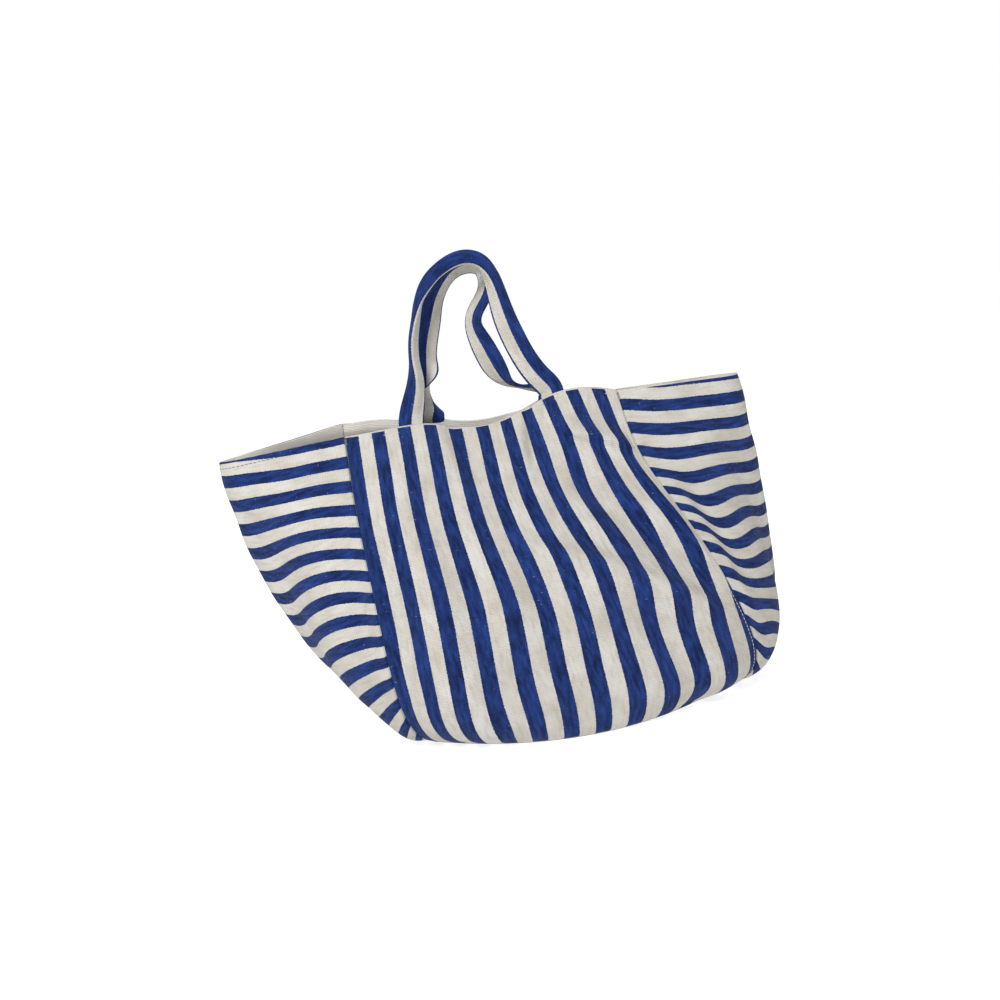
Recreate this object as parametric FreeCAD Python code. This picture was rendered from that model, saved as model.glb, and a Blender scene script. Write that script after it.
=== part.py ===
"""Large soft tote bag of striped canvas: five sewn outer panels, a lining, a facing inside the rim
and two strap handles. It stands on its base, with the rim pulled almost shut and leaning to -X.

Millimetres. Origin under the middle of the base, +Z up, -Y the front, +X to the right seen from the front.
"""
import FreeCAD, Part
import math
import os

Vector = FreeCAD.Vector

# ---- driving dimensions -------------------------------------------------------------------------
CANVAS_THICKNESS = 1.6
LINING_THICKNESS = 0.8
SEAM_GAP = 0.4            # daylight kept between neighbouring pieces of cloth
SEAM_INSET = 2.2          # how far a gusset stops short of the seam line

BASE_HALF_LENGTH = 172.0  # the base's four edges bow outwards between its corners
BASE_FRONT = 128.0        # middle of the front edge, from the middle of the bag
BASE_BACK = 98.0
CORNER_X = 153.0
CORNER_Y = 72.0
BASE_RISE = 0.8           # height of the walls' lower edges

FACING_HEIGHT = 45.0      # cloth band sewn inside the rim
RIM_HEM = 1.5             # how far the facing stops below the rim

STRAP_WIDTH = 26.0
STRAP_THICKNESS = 3.0
STRAP_END_HEIGHT = 38.0   # strap sewn in below the rim
STRAP_GAP = 0.6           # gap between a sewn-in end and the strap above it

LINING_OFFSET = CANVAS_THICKNESS + STRAP_THICKNESS + 2 * SEAM_GAP
GUSSET_LINING_OFFSET = CANVAS_THICKNESS + 1.2
LINING_INSET = 8.0        # how far the linings stop short of the seam line
LINING_FOOT = 26.0        # how far the linings stop short of the base edge
LINING_SEAM_GAP = 1.0     # between the facing's lower edge and the lining
BASE_INSET = 4.0
BASE_LINING_INSET = 14.0

TACK_LENGTH = 9.0         # bars of thread across the seam tops
TACK_RADIUS = 0.9
TACK_DROP = 7.0           # middle of the bar below the rim
TACK_LIFT = 0.9           # gap between the bar and the canvas
TACK_COLUMNS = (0.004, 0.996)

# ---- the standing shape: seams and fold lines, each from the base edge up to the rim ------------
FRONT_LEFT_SEAM = [(-CORNER_X, -CORNER_Y, BASE_RISE), (-166, -87, 13), (-178, -100, 37), (-186, -108, 80),
                   (-190, -103, 136), (-193, -80, 200), (-194, -44, 258), (-193, -13, 308)]
FRONT_RIGHT_SEAM = [(CORNER_X, -CORNER_Y, BASE_RISE), (167, -86, 9), (176, -100, 26), (171, -109, 72),
                    (153, -100, 126), (125, -75, 190), (97, -43, 254), (89, -13, 315)]
BACK_LEFT_SEAM = [(-CORNER_X, CORNER_Y, BASE_RISE), (-166, 84, 11), (-178, 97, 34), (-185, 104, 80),
                  (-188, 98, 136), (-191, 76, 202), (-193, 44, 263), (-193, 15, 319)]
BACK_RIGHT_SEAM = [(CORNER_X, CORNER_Y, BASE_RISE), (167, 85, 9), (176, 96, 26), (169, 104, 72),
                   (150, 98, 128), (123, 76, 192), (97, 44, 257), (89, 15, 314)]
LEFT_FOLD = [(-BASE_HALF_LENGTH, 0, BASE_RISE), (-188, 0, 10), (-211, 0, 32), (-245, 0, 74),
             (-279, 0, 134), (-301, 0, 196), (-314, 0, 254), (-318, 0, 299)]
RIGHT_FOLD = [(BASE_HALF_LENGTH, 0, BASE_RISE), (196, 0, 10), (222, 0, 29), (242, 0, 74),
              (247, 0, 128), (243, 0, 190), (236, 0, 252), (226, 0, 314)]

# middle line of the front and back walls: distance out from the seams, and height
FRONT_BULGE = [BASE_FRONT - CORNER_Y, 47, 37, 26, 23, 16, 8, 2]
FRONT_MIDDLE_HEIGHT = [BASE_RISE, 5, 18, 68, 126, 188, 246, 299]
BACK_BULGE = [BASE_BACK - CORNER_Y, 22, 18, 15, 14, 10, 4, 1]
BACK_MIDDLE_HEIGHT = [BASE_RISE, 5, 18, 72, 128, 190, 250, 303]

# heights of the rim across the front and the back, left to right: it dips between the handles
WALL_COLUMNS = [0.0, 0.12, 0.3, 0.5, 0.7, 0.88, 1.0]
BULGE_SHARE = [0.0, 0.6, 0.95, 1.0, 0.95, 0.6, 0.0]
BASE_EDGE_SHARE = [0.0, 0.425, 0.843, 1.0, 0.843, 0.425, 0.0]
FRONT_RIM_HEIGHT = [308, 309, 309, 299, 316, 323, 315]
BACK_RIM_HEIGHT = [319, 318, 313, 303, 312, 320, 314]

# a gusset's section: how far out each column stands, and how full the curve is at each level
GUSSET_COLUMNS = [0.0, 0.38, 0.72, 0.94, 1.0]
GUSSET_FULLNESS = [1.4, 2.2, 2.0, 1.6, 1.35, 1.3, 1.8, 4.0]

# ---- strap routes: centre line from the left leg over the top to the right leg ------------------
# each point is (x, y, z, turn): turn 0 lays the strap's face to the front, 90 its blue edge
FRONT_HANDLE = [(-126, -10, 313, 0), (-123, -10, 331, 20), (-119, -10, 348, 45), (-117, -10, 370, 70),
                (-115, -10, 390, 80), (-109, -10, 411, 84), (-101, -9, 431, 80), (-88, -9, 448, 72),
                (-70, -9, 460, 66), (-51, -9, 465, 60), (-36, -9, 461, 50), (-26, -10, 449, 34),
                (-20, -10, 431, 18), (-16, -10, 408, 8), (-9, -10, 380, 2), (2, -10, 352, 0),
                (12, -10, 336, 0), (20, -10, 324.2, 0)]
BACK_HANDLE = [(-102, 12, 314, 180), (-101, 12, 325, 166), (-100, 12, 335, 122), (-100, 13, 345, 74),
               (-100, 13, 357, 40), (-100, 13, 372, 24), (-97, 13, 388, 18), (-90, 14, 409, 26),
               (-83, 15, 428, 38), (-73, 16, 444, 46), (-62, 16, 455, 44), (-50, 16, 460, 42),
               (-39, 16, 460, 44), (-30, 16, 455, 52), (-27, 16, 445, 60), (-29, 16, 433, 62),
               (-36, 16, 421, 60), (-43, 16, 411, 60), (-46, 16, 401, 60), (-44, 16, 389, 46),
               (-39, 15, 375, 28), (-33, 14, 360, 22), (-26, 12, 346, 45), (-17, 10, 336, 78),
               (-5, 8, 331, 86), (8, 8, 330.5, 60), (17, 10, 328, 14), (20, 11, 321.5, 0)]
STRAP_STATIONS = 4        # sections lofted between two route points

WALL_LEVELS = 27          # evenly spaced rows and columns that a wall is drawn through
WALL_STEPS = 25
CLOTH_ROWS = 35           # the same for each piece of cloth cut from a wall
CLOTH_COLUMNS = 19
FACING_ROWS = 7


def even_points(points, count):
    """Evenly spaced points along the smooth curve through the given points."""
    curve = Part.BSplineCurve()
    curve.interpolate(points)
    return curve.toShape().discretize(Number=count)


def smooth_wall(rows):
    """B-spline surface through rows of points, each row running left to right."""
    columns = [even_points([Vector(*point) for point in column], WALL_LEVELS) for column in zip(*rows)]
    grid = [even_points(list(row), WALL_STEPS) for row in zip(*columns)]
    surface = Part.BSplineSurface()
    surface.interpolate(grid)
    return surface


def wall_rows(left_seam, right_seam, bulge, middle_height, rim_height, side):
    """Rows of the front (side -1) or back (side +1) wall from its seams and its bulge."""
    rows = []
    top = len(left_seam) - 1
    for level in range(len(left_seam)):
        left = left_seam[level]
        right = right_seam[level]
        row = []
        shares = BASE_EDGE_SHARE if level < 2 else BULGE_SHARE
        for column, share in zip(WALL_COLUMNS, shares):
            x = left[0] + (right[0] - left[0]) * column
            y = left[1] + (right[1] - left[1]) * column + side * bulge[level] * share
            straight = left[2] + (right[2] - left[2]) * column
            middle = (left[2] + right[2]) / 2
            z = straight + (middle_height[level] - middle) * math.sin(math.pi * column)
            if level == top:
                z = rim_height[WALL_COLUMNS.index(column)]
            row.append((x, y, z))
        rows.append(row)
    return rows


def gusset_rows(front_seam, fold, back_seam):
    """Rows of a gusset: out from the front seam to the fold line and back to the back seam."""
    rows = []
    for front, ridge, back, fullness in zip(front_seam, fold, back_seam, GUSSET_FULLNESS):
        halves = []
        for seam in (front, back):
            half = []
            for column in GUSSET_COLUMNS:
                depth = (1 - column ** fullness) ** (1 / fullness)
                half.append((seam[0] + (ridge[0] - seam[0]) * column,
                             seam[1] * depth,
                             seam[2] + (ridge[2] - seam[2]) * column))
            halves.append(half)
        rows.append(halves[0] + halves[1][-2::-1])
    return rows


def arc_share(surface, distance, from_top):
    """Surface parameter at a distance along its middle line, from the rim or from the base."""
    first_row, last_row, first_column, last_column = surface.bounds()
    middle = (first_column + last_column) / 2
    steps = 200
    start, stop = (last_row, first_row) if from_top else (first_row, last_row)
    travelled = 0.0
    here = surface.value(start, middle)
    for step in range(1, steps + 1):
        parameter = start + (stop - start) * step / steps
        there = surface.value(parameter, middle)
        stride = here.distanceToPoint(there)
        if travelled + stride >= distance:
            parameter += (start - stop) / steps * (1 - (distance - travelled) / stride)
            return (parameter - first_row) / (last_row - first_row)
        travelled += stride
        here = there
    return 0.0 if from_top else 1.0


def across_share(surface, row, distance, from_left):
    """Surface parameter at a distance along one row, from its left or its right end."""
    first_row, last_row, first_column, last_column = surface.bounds()
    level = first_row + (last_row - first_row) * row
    steps = 200
    start, stop = (first_column, last_column) if from_left else (last_column, first_column)
    travelled = 0.0
    here = surface.value(level, start)
    for step in range(1, steps + 1):
        parameter = start + (stop - start) * step / steps
        there = surface.value(level, parameter)
        stride = here.distanceToPoint(there)
        if travelled + stride >= distance:
            parameter += (start - stop) / steps * (1 - (distance - travelled) / stride)
            return (parameter - first_column) / (last_column - first_column)
        travelled += stride
        here = there
    return 1.0 if from_left else 0.0


def solid_between(outer, inner):
    """Solid between two surfaces whose edges correspond, closed by four ruled sides."""
    faces = [outer.toShape(), inner.toShape()]
    outer_edges = border(outer)
    inner_edges = border(inner)
    for one, other in zip(outer_edges, inner_edges):
        faces += Part.makeLoft([Part.Wire(one), Part.Wire(other)], False, True).Faces
    shell = Part.Shell(faces)
    sewn = shell.copy()
    sewn.sewShape()
    solid = Part.Solid(sewn)
    if solid.Volume < 0:
        solid.reverse()
    return solid


def border(surface):
    """The four boundary curves of a surface, as edges."""
    first_row, last_row, first_column, last_column = surface.bounds()
    curves = [surface.uIso(first_row), surface.uIso(last_row),
              surface.vIso(first_column), surface.vIso(last_column)]
    return [curve.toShape() for curve in curves]


def cloth(surface, near, far, across=(0.0, 1.0), up=(0.0, 1.0), rows=CLOTH_ROWS):
    """Sheet of cloth between two distances inward of a surface, over part of that surface.

    across is a pair of shares, or a function of the row's share that returns such a pair.
    """
    first_row, last_row, first_column, last_column = surface.bounds()
    flip = inward_sign(surface)
    outer_grid = []
    inner_grid = []
    for i in range(rows):
        row = up[0] + (up[1] - up[0]) * i / (rows - 1)
        left, right = across(row) if callable(across) else across
        outer_line = []
        inner_line = []
        for j in range(CLOTH_COLUMNS):
            column = left + (right - left) * j / (CLOTH_COLUMNS - 1)
            u = first_row + (last_row - first_row) * row
            v = first_column + (last_column - first_column) * column
            point = surface.value(u, v)
            normal = surface.normal(u, v) * flip
            outer_line.append(point + normal * near)
            inner_line.append(point + normal * far)
        outer_grid.append(outer_line)
        inner_grid.append(inner_line)
    outer = Part.BSplineSurface()
    outer.interpolate(outer_grid)
    inner = Part.BSplineSurface()
    inner.interpolate(inner_grid)
    return solid_between(outer, inner)


def inward_sign(surface):
    """1 where a wall's own normal points into the bag, -1 where it points out."""
    first_row, last_row, first_column, last_column = surface.bounds()
    u = (first_row + last_row) / 2
    v = (first_column + last_column) / 2
    point = surface.value(u, v)
    return 1 if surface.normal(u, v).dot(Vector(-point.x, -point.y, 0)) > 0 else -1


def inset_across(surface, distance):
    """Shares across a surface that stop a distance short of its two side edges, row by row."""
    def shares(row):
        return (across_share(surface, row, distance, True), across_share(surface, row, distance, False))
    return shares


def base_slab(inset, bottom, thickness):
    """Base cloth: four bowed edges between the corners, set in from the walls' lower edges."""
    places = [(-CORNER_X, -CORNER_Y), (0, -BASE_FRONT), (CORNER_X, -CORNER_Y), (BASE_HALF_LENGTH, 0),
              (CORNER_X, CORNER_Y), (0, BASE_BACK), (-CORNER_X, CORNER_Y), (-BASE_HALF_LENGTH, 0)]
    points = [Vector(x, y, bottom) for x, y in places]
    edges = []
    for start in range(0, len(points), 2):
        arc = Part.Arc(points[start], points[start + 1], points[(start + 2) % len(points)])
        edges.append(arc.toShape())
    outline = Part.Wire(edges).makeOffset2D(-inset)
    return Part.Face(outline).extrude(Vector(0, 0, thickness))


def strap_frames(route):
    """Centre, width direction and thickness direction along a strap's route."""
    centre_line = Part.BSplineCurve()
    centre_line.interpolate([Vector(x, y, z) for x, y, z, turn in route])
    knots = centre_line.getKnots()
    frames = []
    for index in range(len(route) - 1):
        last = index == len(route) - 2
        for step in range(STRAP_STATIONS + (1 if last else 0)):
            share = step / STRAP_STATIONS
            parameter = knots[index] + (knots[index + 1] - knots[index]) * share
            turn = math.radians(route[index][3] + (route[index + 1][3] - route[index][3]) * share)
            point = centre_line.value(parameter)
            along = centre_line.tangent(parameter)[0]
            face = Vector(0, -1, 0)
            face = (face - along * face.dot(along)).normalize()
            left = face.cross(along).normalize()
            width = left * math.cos(turn) + face * math.sin(turn)
            frames.append((point, width, along.cross(width).normalize()))
    return frames


def strap(route):
    """Flat strap lofted along its route."""
    sections = []
    for point, width, normal in strap_frames(route):
        corners = []
        for side, layer in ((1, 1), (-1, 1), (-1, -1), (1, -1)):
            offset = width * (side * STRAP_WIDTH / 2) + normal * (layer * STRAP_THICKNESS / 2)
            corners.append(point + offset)
        sections.append(Part.makePolygon(corners + corners[:1]))
    return Part.makeLoft(sections, True, True)


def sewn_end(surface, x_centre, near):
    """The strap's end below the rim, between the panel and the facing."""
    lower = arc_share(surface, STRAP_END_HEIGHT, True)
    upper = arc_share(surface, STRAP_GAP, True)
    first_row, last_row, first_column, last_column = surface.bounds()

    def shares(row):
        u = first_row + (last_row - first_row) * row
        found = []
        for target in (x_centre - STRAP_WIDTH / 2, x_centre + STRAP_WIDTH / 2):
            low, high = 0.0, 1.0
            for halving in range(30):
                middle = (low + high) / 2
                x = surface.value(u, first_column + (last_column - first_column) * middle).x
                if x < target:
                    low = middle
                else:
                    high = middle
            found.append(low)
        return tuple(found)

    return cloth(surface, near, near + STRAP_THICKNESS, shares, (lower, upper), FACING_ROWS)


def bar_tack(surface, column):
    """Short half-round bar of thread across the top of a seam, just proud of the canvas."""
    first_row, last_row, first_column, last_column = surface.bounds()
    u = first_row + (last_row - first_row) * arc_share(surface, TACK_DROP, True)
    v = first_column + (last_column - first_column) * column
    outward = surface.normal(u, v) * -inward_sign(surface)
    bar = Part.makeCylinder(TACK_RADIUS, TACK_LENGTH, Vector(0, 0, -TACK_LENGTH / 2))
    outer_half = Part.makeBox(2 * TACK_RADIUS, TACK_RADIUS, TACK_LENGTH,
                              Vector(-TACK_RADIUS, 0, -TACK_LENGTH / 2))
    bar = bar.common(outer_half)
    turn = FreeCAD.Rotation(Vector(0, 1, 0), outward)
    bar.Placement = FreeCAD.Placement(surface.value(u, v) + outward * TACK_LIFT, turn)
    return bar


def inner_cloth(surface, facing_name, lining_name, near):
    """The facing band inside the rim and the lining below it."""
    edges = inset_across(surface, LINING_INSET)
    far = near + LINING_THICKNESS
    band = (arc_share(surface, FACING_HEIGHT, True), arc_share(surface, RIM_HEM, True))
    body = (arc_share(surface, LINING_FOOT, False),
            arc_share(surface, FACING_HEIGHT + LINING_SEAM_GAP, True))
    return {facing_name: cloth(surface, near, far, edges, band, FACING_ROWS),
            lining_name: cloth(surface, near, far, edges, body)}


def build():
    """All the pieces, by node name."""
    front = smooth_wall(wall_rows(FRONT_LEFT_SEAM, FRONT_RIGHT_SEAM, FRONT_BULGE, FRONT_MIDDLE_HEIGHT,
                                  FRONT_RIM_HEIGHT, -1))
    back = smooth_wall(wall_rows(BACK_LEFT_SEAM, BACK_RIGHT_SEAM, BACK_BULGE, BACK_MIDDLE_HEIGHT,
                                 BACK_RIM_HEIGHT, 1))
    left = smooth_wall(gusset_rows(FRONT_LEFT_SEAM, LEFT_FOLD, BACK_LEFT_SEAM))
    right = smooth_wall(gusset_rows(FRONT_RIGHT_SEAM, RIGHT_FOLD, BACK_RIGHT_SEAM))

    parts = {}
    walls = {"front": front, "back": back}
    gussets = {"left": left, "right": right}

    for name, wall in walls.items():
        parts[name + "_panel"] = cloth(wall, 0, CANVAS_THICKNESS)
        parts.update(inner_cloth(wall, name + "_top_facing", name + "_lining", LINING_OFFSET))
    for name, gusset in gussets.items():
        edges = inset_across(gusset, SEAM_INSET)
        parts[name + "_gusset"] = cloth(gusset, 0, CANVAS_THICKNESS, edges)
        parts.update(inner_cloth(gusset, name + "_top_facing", name + "_gusset_lining",
                                 GUSSET_LINING_OFFSET))

    parts["base_panel"] = base_slab(BASE_INSET, 0, CANVAS_THICKNESS)
    parts["base_lining"] = base_slab(BASE_LINING_INSET, CANVAS_THICKNESS + SEAM_GAP, LINING_THICKNESS)

    handles = {"front": (front, FRONT_HANDLE), "back": (back, BACK_HANDLE)}
    for name, (wall, route) in handles.items():
        parts[name + "_handle"] = strap(route)
        near = CANVAS_THICKNESS + SEAM_GAP
        parts[name + "_handle_left_end"] = sewn_end(wall, route[0][0], near)
        parts[name + "_handle_right_end"] = sewn_end(wall, route[-1][0], near)

    tacks = []
    for wall in walls.values():
        for column in TACK_COLUMNS:
            tacks.append(bar_tack(wall, column))
    parts["seam_top_tacks"] = Part.Compound(tacks)
    return parts


def main():
    os.makedirs("parts", exist_ok=True)
    for name, shape in build().items():
        shape.exportStep("parts/" + name + ".step")
        box = shape.BoundBox
        print(name, "valid", shape.isValid(), "cm3", round(shape.Volume / 1000, 2),
              "x", round(box.XMin), round(box.XMax), "y", round(box.YMin), round(box.YMax),
              "z", round(box.ZMin, 1), round(box.ZMax, 1))


main()
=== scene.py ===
"""Looks of the striped canvas tote bag: walls, lining, straps, stitching, materials, light, camera.

The walls repeat the key lines of the CAD part and add what cloth does: folds, rolled seams, hems.
"""

import math

import bpy
import numpy as np
from mathutils import Matrix, Vector


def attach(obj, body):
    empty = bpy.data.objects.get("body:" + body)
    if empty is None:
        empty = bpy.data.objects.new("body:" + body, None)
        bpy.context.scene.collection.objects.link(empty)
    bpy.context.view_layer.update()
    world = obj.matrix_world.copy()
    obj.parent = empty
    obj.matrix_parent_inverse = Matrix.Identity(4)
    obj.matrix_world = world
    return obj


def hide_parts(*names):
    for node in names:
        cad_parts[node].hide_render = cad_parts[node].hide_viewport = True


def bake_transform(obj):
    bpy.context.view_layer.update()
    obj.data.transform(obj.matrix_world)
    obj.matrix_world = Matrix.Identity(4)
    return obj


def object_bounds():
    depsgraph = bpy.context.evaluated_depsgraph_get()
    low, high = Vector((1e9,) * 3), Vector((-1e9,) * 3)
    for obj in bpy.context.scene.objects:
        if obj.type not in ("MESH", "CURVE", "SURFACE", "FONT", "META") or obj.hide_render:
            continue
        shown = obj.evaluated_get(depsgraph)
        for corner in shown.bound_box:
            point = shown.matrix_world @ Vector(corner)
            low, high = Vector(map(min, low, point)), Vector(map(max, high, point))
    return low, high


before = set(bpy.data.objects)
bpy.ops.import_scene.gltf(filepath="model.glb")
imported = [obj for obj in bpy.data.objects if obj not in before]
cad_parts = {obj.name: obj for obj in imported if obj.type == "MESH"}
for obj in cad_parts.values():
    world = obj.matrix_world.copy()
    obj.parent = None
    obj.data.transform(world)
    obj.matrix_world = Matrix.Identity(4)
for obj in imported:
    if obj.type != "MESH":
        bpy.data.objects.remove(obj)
cad_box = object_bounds()

MM = 0.001

# ---- the cloth ----------------------------------------------------------------------------------
STRIPE_PAIR = 30 * MM              # one blue and one cream stripe
END_STRIPE_PAIR = 24.5 * MM        # the ends' stripes, a little narrower
PANEL_WIDTH = 11 * STRIPE_PAIR     # front and back panels, as cut between the seams
PANEL_HEIGHT = 350 * MM            # rim to base edge along the cloth
GUSSET_WIDTH = 250 * MM
CANVAS = 1.5 * MM
LINING = 0.8 * MM
FACING_HEIGHT = 45 * MM
FACING_OFFSET = 5.3 * MM           # inner cloth, inwards of the outer face
LINING_OFFSET = 6.6 * MM
STRAP_WIDTH = 26 * MM
STRAP_THICKNESS = 3.0 * MM
STRAP_END = 38 * MM                # strap sewn in below the rim
THREAD_RADIUS = 0.26 * MM
STITCH = 3.2 * MM
STITCH_PITCH = 4.2 * MM
SEAM_ROLL = 2.6 * MM               # how the cloth's edge rolls into a seam
RIM_ROLL = 2.0 * MM
RIM_FACING_OFFSET = 2.3 * MM       # the facing meets the canvas at the rim
RIM_BEND = 8 * MM                  # and reaches its full offset this far down
INNER_INSET = 0.3 * MM             # the inner cloths stop just short of the seams
LINING_OVERLAP = 4 * MM            # the lining starts this far above the facing's lower edge
LINING_FOOT = 20 * MM              # and stops this far above the base
END_INNER_SHIFT = -2.0 * MM        # the ends' inner cloths have no strap in front of them
STITCH_START = 6 * MM              # a row's first and last stitch, from the ends of its line
SEAM_STITCH = 4 * MM               # rows of stitching: in from a seam
RIM_STITCH = 6 * MM                # below the rim
STRAP_STITCH = 3 * MM              # and in from a strap's edges
SEAM_CALM = 14 * MM                # folds fade out this far from a seam
BASE_CALM = 10 * MM                # and this far from the base
TACK_SHARE = 0.006                 # the tacks at the seams' tops: place across the wall
TACK_TOP, TACK_FOOT, TACK_PITCH = 3 * MM, 11 * MM, 0.75 * MM
GRID_STEP = 1.6 * MM
RIPPLE_WAVES = 7

# ---- the bag's standing shape, in millimetres, from the base edge up to the rim ------------------
BASE_X, BASE_FRONT, BASE_BACK, BASE_RISE = 172.0, 128.0, 98.0, 0.8
CORNER_X, CORNER_Y = 153.0, 72.0
FRONT_LEFT_SEAM = [(-CORNER_X, -CORNER_Y, BASE_RISE), (-166, -87, 13), (-178, -100, 37), (-186, -108, 80),
                   (-190, -103, 136), (-193, -80, 200), (-194, -44, 258), (-193, -13, 308)]
FRONT_RIGHT_SEAM = [(CORNER_X, -CORNER_Y, BASE_RISE), (167, -86, 9), (176, -100, 26), (171, -109, 72),
                    (153, -100, 126), (125, -75, 190), (97, -43, 254), (89, -13, 315)]
BACK_LEFT_SEAM = [(-CORNER_X, CORNER_Y, BASE_RISE), (-166, 84, 11), (-178, 97, 34), (-185, 104, 80),
                  (-188, 98, 136), (-191, 76, 202), (-193, 44, 263), (-193, 15, 319)]
BACK_RIGHT_SEAM = [(CORNER_X, CORNER_Y, BASE_RISE), (167, 85, 9), (176, 96, 26), (169, 104, 72),
                   (150, 98, 128), (123, 76, 192), (97, 44, 257), (89, 15, 314)]
LEFT_FOLD = [(-BASE_X, 0, BASE_RISE), (-188, 0, 10), (-211, 0, 32), (-245, 0, 74),
             (-279, 0, 134), (-301, 0, 196), (-314, 0, 254), (-318, 0, 299)]
RIGHT_FOLD = [(BASE_X, 0, BASE_RISE), (196, 0, 10), (222, 0, 29), (242, 0, 74),
              (247, 0, 128), (243, 0, 190), (236, 0, 252), (226, 0, 314)]
FRONT_BULGE = [BASE_FRONT - CORNER_Y, 47, 37, 26, 23, 16, 8, 2]
FRONT_MIDDLE_HEIGHT = [BASE_RISE, 5, 18, 68, 126, 188, 246, 299]
BACK_BULGE = [BASE_BACK - CORNER_Y, 22, 18, 15, 14, 10, 4, 1]
BACK_MIDDLE_HEIGHT = [BASE_RISE, 5, 18, 72, 128, 190, 250, 303]
WALL_COLUMNS = [0.0, 0.12, 0.3, 0.5, 0.7, 0.88, 1.0]
BULGE_SHARE = [0.0, 0.6, 0.95, 1.0, 0.95, 0.6, 0.0]
BASE_EDGE_SHARE = [0.0, 0.425, 0.843, 1.0, 0.843, 0.425, 0.0]
FRONT_RIM_HEIGHT = [308, 309, 309, 299, 316, 323, 315]
BACK_RIM_HEIGHT = [319, 318, 313, 303, 312, 320, 314]
GUSSET_COLUMNS = [0.0, 0.38, 0.72, 0.94, 1.0]
GUSSET_FULLNESS = [1.4, 2.2, 2.0, 1.6, 1.35, 1.3, 1.8, 4.0]

# strap routes in millimetres: centre line over the top, how far the strap is turned, in degrees,
# and how far it is folded along its middle
FRONT_HANDLE = [(-126, -10, 313, 0, 16), (-123, -10, 331, -2, 58), (-119, -10, 348, -4, 92),
                (-117, -10, 370, -20, 134), (-115, -10, 390, -20, 138), (-109, -10, 411, -12, 144),
                (-101, -9, 431, 14, 146), (-88, -9, 448, 40, 112), (-70, -9, 460, 45, 94),
                (-51, -9, 465, 45, 92), (-36, -9, 461, 40, 98), (-26, -10, 449, 22, 104),
                (-20, -10, 431, 10, 90), (-16, -10, 408, 4, 58), (-9, -10, 380, 2, 28),
                (2, -10, 352, 0, 10), (12, -10, 336, 0, 0), (20, -10, 324.2, 0, 0)]
BACK_HANDLE = [(-102, 12, 314, -178, -10), (-100, 12, 325, -146, -96), (-99, 12, 335, -116, -96),
               (-99, 13, 345, -70, -50), (-100, 13, 357, -8, -14), (-100, 13, 372, 20, 0),
               (-97, 13, 388, 18, 0), (-90, 14, 409, 26, 0), (-83, 15, 428, 38, 0),
               (-73, 16, 444, 46, 0), (-62, 16, 455, 44, 0), (-50, 16, 460, 42, 0),
               (-39, 16, 460, 44, 0), (-30, 16, 455, 52, 0), (-27, 16, 445, 60, 0),
               (-29, 16, 433, 62, 0), (-36, 16, 421, 60, 0), (-43, 16, 411, 60, 0),
               (-46, 16, 401, 60, 0), (-44, 16, 389, 46, 0), (-39, 15, 375, 28, 0),
               (-33, 15, 360, 22, 0), (-26, 15, 346, 45, 0), (-17, 15, 335, 78, 0),
               (-5, 15, 330, 86, 0), (10, 15, 328, 66, 0), (21, 13, 326, 28, 0),
               (24, 12, 320.5, 0, 0)]

# how far the stripes of each end run up the cloth, in millimetres: a row for every 50 mm below the
# rim, from the front seam (first column) out to the fold line (last column)
STRIPE_DROPS = [0, 50, 100, 150, 200, 250, 300, 350]
LEFT_STRIPE_PLACES = [0, 30, 62, 90, 125]
LEFT_STRIPE_SHIFT = [(-2, -2, -1, 2, 5), (-6, -3, 0, 4, 3), (-7, 4, 9, 6, 0), (-1, 13, 13, 6, -3),
                     (8, 16, 14, 4, -8), (18, 15, 7, -3, -18), (20, 8, -2, -15, -28), (20, 4, -6, -22, -34)]
RIGHT_STRIPE_PLACES = [0, 12, 25, 60, 125]
RIGHT_STRIPE_SHIFT = [(4, 3, 0, -3, -5), (4, 0, -3, -5, -5), (5, -1, -6, -4, -6), (16, 6, -6, -3, -8),
                      (13, 8, -1, -1, -4), (10, 2, 3, 0, -4), (8, 1, 0, 0, -10), (8, 0, 0, 0, -20)]

# the same for the front, whose stripes lean to the right at the foot: columns from seam to seam
FRONT_STRIPE_PLACES = [0, 60, 120, 180, 240, 300, 330]
FRONT_STRIPE_SHIFT = [(0, 0, 0, 0, 5, 3, 0), (0, 0, 0, 0, -2, -3, -2), (0, 4, 5, 5, 3, -4, -1),
                      (0, 6, 8, 7, 4, -5, -3), (0, 8, 9, 9, 8, 0, 0), (0, 12, 14, 14, 14, 11, 9),
                      (0, 15, 17, 18, 15, 13, 8), (0, 15, 19, 19, 17, 12, 0)]

# folds on the cloth, in millimetres from the front seam (or the left seam) and below the rim: start,
# end, half width on the left of that direction, height, half width on its right, softness of its ends
FRONT_FOLDS = [
    ((120, -10), (137, 60), 12, -6.5, 12, 0.3),
    ((221, -10), (207, 66), 12, -6.0, 9, 0.3),
    ((160, -5), (172, 70), 18, 2.5, 18, 0.3),
    ((252, 44), (322, 66), 15, 8.0, 4.5, 0.2),
    ((246, 84), (294, 196), 16, -10.0, 20, 0.25),
    ((168, 150), (306, 240), 12, 8.0, 28, 0.25),
    ((320, 92), (324, 192), 12, 7.0, 13, 0.2),
    ((14, 112), (22, 226), 9, -6.0, 12, 0.25),
    ((48, 60), (64, 330), 14, 4.2, 18, 0.2),
    ((84, 120), (88, 330), 13, -4.4, 13, 0.2),
    ((142, 120), (150, 330), 14, -4.0, 14, 0.2),
    ((236, 230), (262, 340), 13, -4.6, 15, 0.25),
]
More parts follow.
